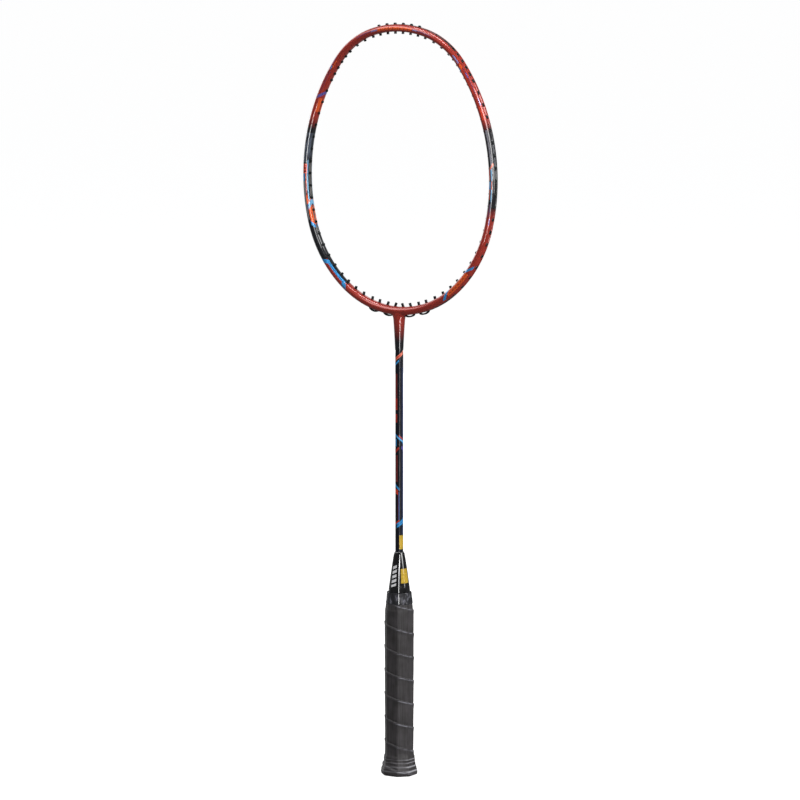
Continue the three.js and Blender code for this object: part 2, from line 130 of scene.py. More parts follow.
# How crisp the corners of the octagon are, as the exponent of octagon_radius.
WRAP_SHARPNESS = 34
FILM_SHARPNESS = 30
CAP_SHARPNESS = 40
CONE_SHARPNESS = 46

# ---- Meshes ----


def new_object(name, vertices, faces):
    mesh = bpy.data.meshes.new(name)
    mesh.from_pydata([tuple(v) for v in vertices], [], [tuple(f) for f in faces])
    obj = bpy.data.objects.new(name, mesh)
    scene.collection.objects.link(obj)
    return obj


def tidy_mesh(obj, weld=1e-7):
    """Welds what coincides and turns the faces outward."""
    bm = bmesh.new()
    bm.from_mesh(obj.data)
    bmesh.ops.remove_doubles(bm, verts=bm.verts, dist=weld)
    bmesh.ops.dissolve_degenerate(bm, edges=bm.edges, dist=weld)
    bmesh.ops.recalc_face_normals(bm, faces=bm.faces)
    bm.to_mesh(obj.data)
    bm.free()
    return obj


def grid_faces(rows, columns, loops_rows=False, loops_columns=True):
    """Quads between rows of points."""
    faces = []
    for row in range(rows if loops_rows else rows - 1):
        here = row * columns
        above = ((row + 1) % rows) * columns
        for k in range(columns if loops_columns else columns - 1):
            beside = (k + 1) % columns
            faces.append((here + k, here + beside, above + beside, above + k))
    return faces


def loft(name, rings, is_loop=False):
    """A surface through rings, an array of rows, columns and xyz, capped unless the rows form a loop."""
    rows, columns = len(rings), len(rings[0])
    faces = grid_faces(rows, columns, is_loop)
    if not is_loop:
        faces.append(tuple(range(columns))[::-1])
        faces.append(tuple((rows - 1) * columns + k for k in range(columns)))
    obj = new_object(name, np.reshape(rings, (-1, 3)), faces)
    return tidy_mesh(obj)


def smooth_path(points, steps):
    """A Catmull-Rom curve through points of any size, with that many steps between two of them."""
    p = np.array(points, float)
    p = np.vstack([2 * p[0] - p[1], p, 2 * p[-1] - p[-2]])
    out = []
    for a, b, c, d in zip(p[:-3], p[1:-2], p[2:-1], p[3:]):
        for step in range(steps):
            t = step / steps
            out.append(0.5 * (2 * b + (c - a) * t + (2 * a - 5 * b + 4 * c - d) * t**2
                              + (3 * b - a - 3 * c + d) * t**3))
    out.append(p[-2])
    return np.array(out)


def full_turn(count):
    """Evenly spaced angles about Z."""
    return np.linspace(0, 2 * math.pi, count, endpoint=False)


def lathe(name, profile, segments, matrix=Matrix.Identity(4), is_loop=True):
    """A turned solid about Z from (radius, height) points, which close on themselves if is_loop."""
    angles = full_turn(segments)
    rings = [[matrix @ Vector((r * math.cos(a), r * math.sin(a), z)) for a in angles] for r, z in profile]
    return loft(name, np.array(rings), is_loop)


def apply_modifiers(obj):
    graph = bpy.context.evaluated_depsgraph_get()
    made = bpy.data.meshes.new_from_object(obj.evaluated_get(graph))
    old = obj.data
    obj.modifiers.clear()
    obj.data = made
    made.name = obj.name
    bpy.data.meshes.remove(old)


def boolean(obj, operation, others):
    """Cuts others from obj or joins them to it, and uses them up."""
    for k, other in enumerate(others):
        modifier = obj.modifiers.new(f"step_{k}", "BOOLEAN")
        modifier.operation = operation
        modifier.solver = "MANIFOLD"
        modifier.object = other
    apply_modifiers(obj)
    for other in others:
        bpy.data.objects.remove(other)


def joined(name, objects):
    """One object that holds the meshes of several, which don't touch."""
    bm = bmesh.new()
    for obj in objects:
        bm.from_mesh(obj.data)
        bpy.data.objects.remove(obj)
    mesh = bpy.data.meshes.new(name)
    bm.to_mesh(mesh)
    bm.free()
    made = bpy.data.objects.new(name, mesh)
    scene.collection.objects.link(made)
    return made


def set_attribute(obj, name, values):
    attribute = obj.data.attributes.new(name, "FLOAT", "POINT")
    attribute.data.foreach_set("value", np.asarray(values, np.float32))


def points_of(obj):
    co = np.zeros(len(obj.data.vertices) * 3, np.float32)
    obj.data.vertices.foreach_get("co", co)
    return co.reshape(-1, 3).astype(float)


def finish_piece(obj, look, slot, *nodes, crease=35):
    obj.data.shade_smooth()
    obj.data.set_sharp_from_angle(angle=math.radians(crease))
    obj.data.materials.clear()
    obj.data.materials.append(look)
    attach(obj, "root")
    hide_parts(*nodes)


# ---- The head's outline ----


def half_width(heading):
    extra = np.where(np.asarray(heading) < math.pi / 2, TOP_EXTRA_WIDTH, BOTTOM_EXTRA_WIDTH)
    return TUBE_WIDTH + extra * np.cos(heading) ** 2


def outline_arcs():
    """Arcs as (centre x, centre z, radius, first heading, sweep, first distance), and half the length."""
    arcs = []
    heading = x = start = 0.0
    z = HEAD_TOP - float(half_width(0))
    sweeps = [(radius, math.radians(degrees)) for radius, degrees in HEAD_ARCS]
    for radius, sweep in sweeps + [(None, None)]:
        if radius is None:
            radius, sweep = x / math.sin(heading), math.pi - heading
        centre_x = x - radius * math.sin(heading)
        centre_z = z - radius * math.cos(heading)
        arcs.append((centre_x, centre_z, radius, heading, sweep, start))
        heading += sweep
        start += radius * sweep
        x = centre_x + radius * math.sin(heading)
        z = centre_z + radius * math.cos(heading)
    return arcs, start


ARCS, HALF_LENGTH = outline_arcs()
THROAT = ARCS[-1][1] - ARCS[-1][2]  # height of the tube's centre line over the shaft
NECK_REACH = 0.035  # how far the painted length goes on below the hoop


def station(distance):
    """Centre, outward normal and heading at a distance from the top, which goes on up the left side."""
    side = 1 if distance <= HALF_LENGTH else -1
    s = distance if side > 0 else 2 * HALF_LENGTH - distance
    arc = [a for a in ARCS if a[5] <= s + 1e-12][-1]
    heading = arc[3] + (s - arc[5]) / arc[2]
    normal = Vector((side * math.sin(heading), 0, math.cos(heading)))
    centre = Vector((side * (arc[0] + arc[2] * math.sin(heading)), 0, arc[1] + arc[2] * math.cos(heading)))
    return centre, normal, heading


def section_point(at, outward, forward):
    centre, normal, _ = at
    return centre + normal * outward + Vector((0, -forward, 0))


def outline_place(points):
    """Distance from the top, and how far outside the centre line, for points of the hoop."""
    x, z = np.abs(points[:, 0]), points[:, 2]
    best = np.full(len(points), np.inf)
    along, outward = np.zeros(len(points)), np.zeros(len(points))
    headings = np.zeros(len(points))
    for centre_x, centre_z, radius, first, sweep, start in ARCS:
        dx, dz = x - centre_x, z - centre_z
        heading = np.clip(np.arctan2(dx, dz) % (2 * math.pi), first, first + sweep)
        near = np.hypot(dx - radius * np.sin(heading), dz - radius * np.cos(heading))
        better = near < best - 1e-9
        best = np.where(better, near, best)
        along = np.where(better, start + (heading - first) * radius, along)
        outward = np.where(better, np.hypot(dx, dz) - radius, outward)
        headings = np.where(better, heading, headings)
    return along, outward, headings


# The tube's section as (share of the half width, offset, forward), from the groove's middle to the inside.
GROOVE_POINTS = [
    (1, -GROOVE_DEPTH, 0), (1, -GROOVE_DEPTH, 0.75 * GROOVE_WIDTH),
    (1, -0.8 * GROOVE_DEPTH, 0.93 * GROOVE_WIDTH), (1, -0.45 * GROOVE_DEPTH, GROOVE_WIDTH),
    (1, -0.12 * GROOVE_DEPTH, 1.05 * GROOVE_WIDTH),
]
SHELL_POINTS = [
    (1, 0, 2.35 * MM), (0.84, 0, 3.5 * MM), (0.55, 0, 4.6 * MM), (-0.1, 0, TUBE_DEPTH),
    (-0.75, 0, 4.0 * MM), (-1, 0, 1.9 * MM), (-1.03, 0, 0),
]
CAVITY_POINTS = [(1, -1.9 * MM, 2.7 * MM), (0, 0.1 * MM, 4.2 * MM), (-1, 1.0 * MM, 1.5 * MM)]


def mirrored(front):
    """A closed section from its front half; points on the middle line aren't repeated."""
    front = np.array(front)
    back = front[::-1] * (1, 1, -1)
    if front[0][2]:
        return np.vstack([front, back[np.abs(back[:, 2]) > 1e-9]])
    return np.vstack([front, back[1:-1]])


def swept(name, section, step):
    """A closed section carried once around the head."""
    count = round(2 * HALF_LENGTH / step)
    rings = []
    for k in range(count):
        at = station(2 * HALF_LENGTH * k / count)
        width = float(half_width(at[2]))
        rings.append([
            section_point(at, share * width + offset, forward) for share, offset, forward in section
        ])
    return loft(name, np.array(rings), is_loop=True)


# ---- String holes ----


def run_distances(first, runs):
    steps = [pitch for count, pitch in runs for _ in range(count)][1:]
    return first + np.concatenate([[0], np.cumsum(steps)])


def tip_length(heading):
    extra = TOP_EXTRA_TIP if heading < math.pi / 2 else BOTTOM_EXTRA_TIP
    return TIP_LENGTH + extra * math.cos(heading) ** 2


def hole_at(distance, side, index_from_throat=None):
    """Where a string hole is: its centre on the tube's centre line, its direction, and its reach inside."""
    centre, normal, heading = station(distance if side > 0 else 2 * HALF_LENGTH - distance)
    width = float(half_width(heading))
    outward, exit_distance = normal.copy(), distance
    if index_from_throat is not None:
        from_down = math.pi - heading
        least = INNER_LEAN if index_from_throat < INNER_LEANING else OUTER_LEAN
        lean = max(least, LEAN_SHARE * from_down)
        outward = Vector((side * math.sin(lean), 0, -math.cos(lean)))
        exit_distance -= (width - GROOVE_DEPTH) * math.tan(lean - from_down)
    share = outward.dot(normal)
    return {
        "centre": centre, "outward": outward, "width": width,
        "inside": (width + tip_length(heading)) / share,
        "seat": (width - GROOVE_DEPTH + SEAT_GAP) / share,
        "exit": exit_distance if side > 0 else 2 * HALF_LENGTH - exit_distance,
    }


def holes_of_half(side):
    top = run_distances(TOP_FIRST_HOLE, TOP_HOLE_RUNS)
    bottom = HALF_LENGTH - run_distances(BOTTOM_FIRST_HOLE, BOTTOM_HOLE_RUNS)
    sides = np.linspace(top[-1], bottom[-1], SIDE_HOLES + 2)[1:-1]
    single = [*top[TOP_STRIP_HOLES:], *sides]
    return {
        "top": [hole_at(s, side) for s in top[:TOP_STRIP_HOLES]],
        "single": [hole_at(s, side) for s in single],
        "bottom": [hole_at(s, side, k) for k, s in enumerate(bottom)],
    }


HOLES = {side: holes_of_half(sign) for side, sign in (("right", 1), ("left", -1))}
ALL_HOLES = [hole for half in HOLES.values() for group in half.values() for hole in group]


def along_axis(centre, direction):
    """A matrix that puts Z along a direction, at a centre."""
    return Matrix.Translation(centre) @ direction.to_track_quat("Z", "X").to_matrix().to_4x4()


def pin(hole, radius, inside, outside, segments=14):
    matrix = along_axis(hole["centre"], hole["outward"])
    return lathe("pin", [(radius, -inside), (radius, outside)], segments, matrix, is_loop=False)


# ---- Frame ----


# The neck as (height, half width, half depth), from its lower end into the hoop.
NECK_PROFILE = [
    (NECK_BOTTOM - 0.15 * MM, 3.6 * MM, 3.6 * MM), (NECK_BOTTOM + 0.5 * MM, 3.78 * MM, 3.78 * MM),
    (0.393, 4.15 * MM, 4.15 * MM), (0.403, 4.7 * MM, 4.65 * MM), (0.409, 5.15 * MM, 4.95 * MM),
    (0.4125, 5.5 * MM, 5.1 * MM), (0.4148, 6.2 * MM, 5.15 * MM), (0.4162, 7.6 * MM, 5.2 * MM),
    (0.4185, 8.2 * MM, 5.2 * MM), (0.4205, 8.0 * MM, 4.9 * MM),
]
STEM_BORE_RADIUS = 2.5 * MM
HOLE_CUTTER_REACH = 9 * MM  # on both sides of the tube's centre line
BORE_CUTTER_REACH = 12 * MM
SHELL_STEP = 0.9 * MM
CAVITY_STEP = 3 * MM
OVERCUT = 2 * MM

# The corner between the hoop and the neck, which is rounded.
CORNER_HALF_WIDTH = 9 * MM
CORNER_HEIGHTS = (0.4125, 0.4195)
CORNER_FACE = 2.4 * MM  # from here outwards in depth


def frame_piece(look):
    shell = np.vstack([GROOVE_POINTS, smooth_path(SHELL_POINTS, 4)])
    hoop = swept("racket_frame", mirrored(shell), SHELL_STEP)
    angles = full_turn(72)
    neck_path = smooth_path(NECK_PROFILE, 5)
    neck_rings = [[(x * math.cos(a), y * math.sin(a), z) for a in angles] for z, x, y in neck_path]
    neck = loft("neck", np.array(neck_rings))
    cavity = swept("cavity", mirrored(CAVITY_POINTS), CAVITY_STEP)
    bore_ends = [(STEM_BORE_RADIUS, NECK_BOTTOM - OVERCUT), (STEM_BORE_RADIUS, THROAT)]
    bore = lathe("stem_bore", bore_ends, 24, is_loop=False)
    boolean(hoop, "UNION", [neck])
    reach = HOLE_CUTTER_REACH
    cutters = joined("hole_cutters", [pin(h, HOLE_RADIUS, reach, reach) for h in ALL_HOLES])
    boolean(hoop, "DIFFERENCE", [cavity, bore, cutters])
    blend_throat(hoop)
    add_outline_attributes(hoop)
    finish_piece(hoop, look, "red_lacquer", "frame", crease=42)


def blend_throat(obj, rounds=10):
    """Rounds the corner between the hoop and the neck."""
    bm = bmesh.new()
    bm.from_mesh(obj.data)
    bottom, top = CORNER_HEIGHTS
    near = [
        v for v in bm.verts
        if abs(v.co.x) < CORNER_HALF_WIDTH and bottom < v.co.z < top and abs(v.co.y) > CORNER_FACE
    ]
    for _ in range(rounds):
        bmesh.ops.smooth_vert(bm, verts=near, factor=0.5, use_axis_x=True, use_axis_y=True, use_axis_z=True)
    bm.to_mesh(obj.data)
    bm.free()


def add_outline_attributes(obj):
    """Gives the paint its places.

    along is the distance from the head's top, which goes on down the neck. around is 0 in the groove,
    0.5 on the front and the back and 1 inside.
    """
    points = points_of(obj)
    along, outward, headings = outline_place(points)
    below = np.maximum(0, THROAT - half_width(math.pi) - points[:, 2])
    is_neck = (np.abs(points[:, 0]) < CORNER_HALF_WIDTH) & (below > 0)
    along = np.where(is_neck, HALF_LENGTH + below, along)
    around = np.arctan2(np.abs(points[:, 1]) / TUBE_DEPTH, outward / half_width(headings)) / math.pi
    set_attribute(obj, "along", along)
    set_attribute(obj, "around", np.where(is_neck, 0.5, around))


# ---- Shaft ----


SHAFT_WALL = 1.0 * MM
SHAFT_ROUNDING = 0.2 * MM


def shaft_piece(look):
    r, chamfered, inner = SHAFT_RADIUS, SHAFT_RADIUS - SHAFT_ROUNDING, SHAFT_RADIUS - SHAFT_WALL
    heights = np.linspace(SHAFT_BOTTOM, SHAFT_TOP + 0.2 * MM, 60)
    profile = [(inner, SHAFT_BOTTOM), (chamfered, SHAFT_BOTTOM)]
    profile += [(r, z) for z in heights[1:-1]]
    profile += [(chamfered, heights[-1]), (inner, heights[-1])]
    shaft = lathe("racket_shaft", profile, 64)
    finish_piece(shaft, look, "black_lacquer", "shaft", crease=30)


# ---- Handle ----

FACETS = 8


def octagon_radius(angle, half_x, sharpness):
    """Distance from the axis to a rounded octagon's outline; a higher sharpness rounds its corners less."""
    half_y = half_x * GRIP_Y / GRIP_X
    diagonal = (1 + CORNER_SHARE) * half_x * half_y / np.hypot(half_x, half_y)
    lean = np.arctan2(half_x, half_y)
    total = 0
    for k in range(FACETS):
        quarter, odd = divmod(k, 2)
        if odd:
            facing = quarter * math.pi / 2 + (lean if quarter % 2 == 0 else math.pi / 2 - lean)
            reach = diagonal
        else:
            facing = quarter * math.pi / 2
            reach = half_x if quarter % 2 == 0 else half_y
        total = total + (np.maximum(np.cos(angle - facing), 0) / reach) ** sharpness
    return total ** (-1 / sharpness)


def ring_at(radii, angles, heights):
    return np.stack([radii * np.cos(angles), radii * np.sin(angles), heights * np.ones_like(angles)], axis=-1)


def octagon_rings(profile, angles, sharpness):
    """Rings from (height, half width, roundness) rows; roundness is 0 for an octagon and 1 for a circle."""
    rings = []
    for z, half, roundness in profile:
        octagon = octagon_radius(angles, np.full(len(angles), half), sharpness)
        rings.append(ring_at(octagon * (1 - roundness) + half * roundness, angles, z))
    return np.array(rings)


# The cone's outside as (height, half width, roundness), and its lip and inside as (radius, height), in mm.
CONE_PROFILE = [
    (157.0, 9.2, 0.16), (168.0, 9.2, 0.16), (176.0, 8.25, 0.18), (185.0, 7.15, 0.3), (194.0, 6.0, 0.6),
    (201.6, 4.85, 0.97),
]
CONE_LIP = [(4.5, 202.3), (4.32, 202.75), (4.0, 203.0), (3.85, 203.0)]
CONE_INSIDE = [(3.85, 181.5), (5.9, 181.3), (5.9, 157.0)]


def cone_piece(look, columns=120):
    angles = full_turn(columns)
    outside = octagon_rings(smooth_path(CONE_PROFILE, 9) * (MM, MM, 1), angles, CONE_SHARPNESS)
    others = [ring_at(np.full(columns, r * MM), angles, z * MM) for r, z in CONE_LIP + CONE_INSIDE]
    cone = loft("cone_cap", np.concatenate([outside, others]), is_loop=True)
    finish_piece(cone, look, "gloss_black", "cone", crease=50)


# The wrapped handle's outside as (height, half width), in mm.
GRIP_PROFILE = [
    (0.45, 14.6), (1.0, 15.2), (2.8, 15.55), (5.6, 15.1), (8.4, 14.3), (12.5, 13.4), (17.0, 12.95),
    (19.0, 12.3), (23.0, 12.05), (32.0, 12.1), (88.0, 12.2), (144.0, 12.15), (152.0, 11.6), (159.0, 10.75),
    (165.4, 10.05),
]


def grip_half_width(heights):
    path = smooth_path(GRIP_PROFILE, 8) * MM
    return np.interp(heights, path[:, 0], path[:, 1])


def step_up(x, width):
    t = np.clip(x / width, 0, 1)
    return t * t * (3 - 2 * t)


def below_lap(angles, heights):
    """How far below the last lapped edge a point of the wrap lies."""
    return (-heights - WRAP_PITCH * (angles + WRAP_TURN) / (2 * math.pi)) % WRAP_PITCH


LUMP_HEIGHT = 0.10 * MM
FOLD_HEIGHT = 0.32 * MM
FOLD_PITCH = 3.7 * MM
FOLD_CLIMB = 4.5 * MM  # over half a turn
FOLDS_MIDDLE = 10 * MM
FOLDS_SPREAD = 8 * MM


def wrap_relief(angles, heights):
    """Height of the wrap over a plain handle: each turn's lapped edge, and folds where the butt flares."""
    down = below_lap(angles, heights)
    ridge = step_up(down, 0.55 * MM) * (1 - 0.82 * step_up(down - 0.5 * MM, 4.5 * MM))
    ridge -= 0.18 * step_up(down - 0.25 * WRAP_PITCH, 0.7 * WRAP_PITCH)
    trough = -0.3 * np.exp(-(((down - WRAP_PITCH) / (1.2 * MM)) ** 2))
    relief = WRAP_RIDGE * (ridge + trough)
    for k, (angle, z) in enumerate(zip(angles.flat, heights.flat)):
        place = Vector((math.cos(angle) * 1.3, math.sin(angle) * 1.3, z / (9 * MM)))
        slow = noise.noise(place)
        relief.flat[k] += LUMP_HEIGHT * slow
        low_down = math.exp(-(((z - FOLDS_MIDDLE) / FOLDS_SPREAD) ** 2))
        if low_down > 0.02:
            turned = z + FOLD_CLIMB * angle / math.pi
            wave = math.sin(2 * math.pi * turned / FOLD_PITCH + 2.5 * slow)
            gate = 0.55 + 1.1 * noise.noise(place * 1.7 + Vector((5, 2, 0)))
            relief.flat[k] += FOLD_HEIGHT * low_down * wave * max(0.0, gate)
    return relief


def wrap_rows():
    """Heights of the helical rows at angle 0, close together at each lapped edge."""
    at_edge = np.array([-1.6, -1.0, -0.5, -0.15, 0.1, 0.3, 0.5, 0.75, 1.1, 1.6, 2.2, 3.0]) * MM
    between = np.arange(3.75 * MM, WRAP_PITCH - 2.2 * MM, 0.75 * MM)
    phases = np.sort(np.concatenate([at_edge, between]) % WRAP_PITCH)
    turns = np.arange(-2, math.ceil(GRIP_TOP / WRAP_PITCH) + 2)
    edge = -WRAP_PITCH * WRAP_TURN / (2 * math.pi)
    rows = (edge + turns[:, None] * WRAP_PITCH + (WRAP_PITCH - phases)[None, ::-1]).ravel()
    return np.sort(rows)


# The wrap's upper lip as (inset, rise) in mm, and its inside as (half width, height) down to the folded edge.
GRIP_LIP = [(0.15, 0.3), (0.45, 0.5), (0.8, 0.5)]
GRIP_INSIDE = [
    (9.3 * MM, (GRIP_PROFILE[-1][0] - 6) * MM), (GRIP_X - GRIP_WALL, 0.144), (GRIP_X - GRIP_WALL, 0.023),
    (12.9 * MM, 0.009), (13.1 * MM, 0.002), (13.15 * MM, 0.9 * MM), (13.4 * MM, 0.72 * MM),
]


def grip_piece(look, columns=168):
    angles = np.linspace(0, 2 * math.pi, columns + 1)
    top, bottom = GRIP_PROFILE[-1][0] * MM, GRIP_PROFILE[0][0] * MM
    fall = WRAP_PITCH * angles / (2 * math.pi)
    rows = wrap_rows()
    rows = rows[(rows > bottom - 0.001) & (rows < top + WRAP_PITCH + 0.001)]
    heights = np.clip(rows[:, None] - fall[None, :], bottom, top)
    around = np.broadcast_to(angles, heights.shape).copy()
    around[:, -1] = 0
    relief = wrap_relief(around, heights)
    relief *= step_up(heights - bottom, 3 * MM) * (1 - 0.6 * step_up(heights - top + 12 * MM, 6 * MM))
    half = grip_half_width(heights)
    radii = octagon_radius(around, half, WRAP_SHARPNESS) + relief
    outside = ring_at(radii, around, 0) + heights[..., None] * (0, 0, 1)

    def plain_ring(half_x, z):
        r = octagon_radius(around[0], np.full(columns + 1, half_x), WRAP_SHARPNESS)
        return ring_at(r, around[0], z)

    lip = [plain_ring((GRIP_PROFILE[-1][1] - inset) * MM, top + rise * MM) for inset, rise in GRIP_LIP]
    inside = [plain_ring(half_x, z) for half_x, z in GRIP_INSIDE]
    rings = np.concatenate([outside, lip, inside])
    faces = grid_faces(*rings.shape[:2], loops_rows=True, loops_columns=False)
    grip = tidy_mesh(new_object("grip_wrap", rings.reshape(-1, 3), faces), weld=2e-6)
    points = points_of(grip)
    set_attribute(grip, "lap", below_lap(np.arctan2(points[:, 1], points[:, 0]), points[:, 2]))
    finish_piece(grip, look, "charcoal_wrap", "grip", crease=70)


FILM_LIFT = 0.28 * MM  # off the wrap's plain outline
FILM_RIPPLE = 0.22 * MM
FILM_THICKNESS = 0.22 * MM
FILM_SINK = 0.05 * MM
FILM_TAPER = 0.5 * MM


def tape_piece(look, columns=144):
    """A thin film wound over the wrap's upper end, with its edges and slight ripples."""
    angles = full_turn(columns)
    heights = np.linspace(FILM_BOTTOM, TAPE_TOP, 46)
    outer, inner = [], []
    for z in heights:
        base = octagon_radius(angles, grip_half_width(np.full(columns, z)), FILM_SHARPNESS)
        ripple = np.array([
            noise.noise(Vector((math.cos(a) * 1.6, math.sin(a) * 1.6, z / (5 * MM)))) for a in angles
        ])
        edge = min(1, (z - FILM_BOTTOM) / FILM_TAPER, (TAPE_TOP - z) / FILM_TAPER + 0.2)
        lift = FILM_LIFT + FILM_RIPPLE * ripple
        outer.append(ring_at(base + lift + FILM_THICKNESS * edge, angles, z))
        inner.append(ring_at(base + lift - FILM_SINK, angles, z))
    tape = loft("finishing_film", np.array(outer + inner[::-1]), is_loop=True)
    finish_piece(tape, look, "clear_tape", "finishing_tape", crease=60)


# The butt's plug as (height, half width, roundness), in mm, from its upper edge to the middle of its face.
CAP_PROFILE = [
    (3.2, 12.7, 0), (1.2, 12.75, 0), (0.5, 12.5, 0), (0.1, 12.0, 0), (0.0, 11.4, 0), (0.05, 10.7, 0.3),
    (0.5, 10.2, 0.6), (0.55, 7.6, 1), (0.2, 7.2, 1), (0.15, 6.3, 1), (0.6, 5.9, 1), (0.65, 0.4, 1),
]


def butt_cap_piece(look, columns=96):
    """The plug under the folded wrap: a dished face with a raised ring."""
    angles = full_turn(columns)
    rings = octagon_rings(np.array(CAP_PROFILE) * (MM, MM, 1), angles, CAP_SHARPNESS)
    cap = loft("butt_plug", rings)
    finish_piece(cap, look, "black_nylon", "butt_cap", crease=30)


# ---- Grommets ----


def grommet(hole, segments=18):
    """One tube with a bore, a rounded tip inside the head and a domed flange in the groove."""
    seat, foot = hole["seat"], -hole["inside"]
    b, r, f, h = BORE_RADIUS, BARREL_RADIUS, FLANGE_RADIUS, FLANGE_HEIGHT
    profile = [(b, foot + 0.25 * MM), (b + 0.12 * MM, foot), (r - 0.18 * MM, foot), (r, foot + 0.3 * MM)]
    profile += [(r + 0.05 * MM, seat), (f, seat), (f, seat + 0.55 * h), (f - 0.25 * MM, seat + 0.88 * h)]
    profile += [(b + 0.35 * MM, seat + h), (b, seat + h - 0.2 * MM)]
    return lathe("grommet", profile, segments, along_axis(hole["centre"], hole["outward"]))


def groove_bar(start, end, floor, height, steps, half=BAND_WIDTH):
    """A bar with rounded edges along the groove; floor gives its height above the seat at a share of it."""
    rings = []
    lo, hi = min(start, end), max(start, end)
    rounding = min(0.35 * MM, height / 2.5)
    for k in range(steps + 1):
        at = station(lo + (hi - lo) * k / steps)
        foot = float(half_width(at[2])) - GROOVE_DEPTH + SEAT_GAP + floor(k / steps)
        outline = [
            (foot, -half + rounding), (foot + rounding, -half), (foot + height - rounding, -half),
            (foot + height, -half + rounding), (foot + height, half - rounding),
            (foot + height - rounding, half), (foot + rounding, half), (foot, half - rounding),
        ]
        rings.append([section_point(at, outward, forward) for outward, forward in outline])
    return loft("bar", np.array(rings))


def strip_piece(name, look, node, bars, holes, flanged, tall_flanged=()):
    """A strip of grommets: its bars and tubes joined, then bored through."""
    strip = bars[0]
    strip.name = name
    tubes = [pin(h, BARREL_RADIUS, h["inside"], h["seat"] + 0.4 * BAND_HEIGHT, 18) for h in holes]
    domes = []
    for h in (*flanged, *tall_flanged):
        at = station(h["exit"])
        seat = section_point(at, h["width"] - GROOVE_DEPTH + SEAT_GAP, 0)
        f, top = FLANGE_RADIUS, FLANGE_HEIGHT
        if h in tall_flanged:
            f, top = TALL_FLANGE_RADIUS, TALL_FLANGE_HEIGHT
        dome = [(f, 0), (f, 0.55 * top), (f - 0.25 * MM, 0.88 * top), (0.55 * f, top)]
        domes.append(lathe("dome", dome, 18, along_axis(seat, at[1]), is_loop=False))
    boolean(strip, "UNION", bars[1:] + tubes + domes)
    reach = BORE_CUTTER_REACH
    boolean(strip, "DIFFERENCE", [pin(h, BORE_RADIUS, reach, reach, 12) for h in holes])
    finish_piece(strip, look, "black_nylon", node, crease=35)


def top_strip(look):
    holes = HOLES["left"]["top"] + HOLES["right"]["top"]
    reach = HOLES["right"]["top"][-1]["exit"] + BAND_OVERHANG
    full = 2 * HALF_LENGTH
    spans = ((0, reach), (full - reach, full))
    bars = [groove_bar(start, end, lambda share: 0, BAND_HEIGHT, 40) for start, end in spans]
    tall = [hole for side in HOLES.values() for hole in side["top"][:TALL_FLANGES]]
    flanged = [hole for side in HOLES.values() for hole in side["top"][TALL_FLANGES:]]
    strip_piece("grommet_strip_top", look, "top_strip", bars, holes, flanged, tall)


def bottom_strip(side, look):
    """From the throat to the lower shoulder, with a string guard over each of two pairs of holes."""
    holes = HOLES[side]["bottom"]
    exits = [hole["exit"] for hole in holes]
    turn = math.copysign(1, exits[-1] - exits[0])
    first, last = exits[0] - turn * BAND_START, exits[-1] + turn * BAND_OVERHANG
    bars = [groove_bar(first, last, lambda share: 0, BAND_HEIGHT, 56)]
    for k in BOW_PAIRS:
        bars.append(groove_bar(
            exits[k] - turn * BOW_OVERHANG, exits[k + 1] + turn * BOW_OVERHANG,
            lambda share: BOW_RISE * math.sin(math.pi * share) ** BOW_FLATNESS, BOW_HEIGHT, 24, BOW_WIDTH,
        ))
    flanged = holes[PLAIN_BOTTOM_HOLES:]
    strip_piece(f"grommet_strip_{side}", look, f"bottom_strip_{side}", bars, holes, flanged)


def single_grommets(side, look):
    made = [grommet(hole) for hole in HOLES[side]["single"]]
    piece = joined(f"grommets_{side}", made)
    nodes = [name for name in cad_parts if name.startswith(f"grommet_{side}_")]
    finish_piece(piece, look, "black_nylon", *nodes, crease=35)


# ---- Materials ----


def linear(hex_colour):
    """A colour for a shader from its usual six digits."""
    parts = [int(hex_colour[k:k + 2], 16) / 255 for k in (0, 2, 4)]
    return tuple(c / 12.92 if c <= 0.04045 else ((c + 0.055) / 1.055) ** 2.4 for c in parts) + (1.0,)


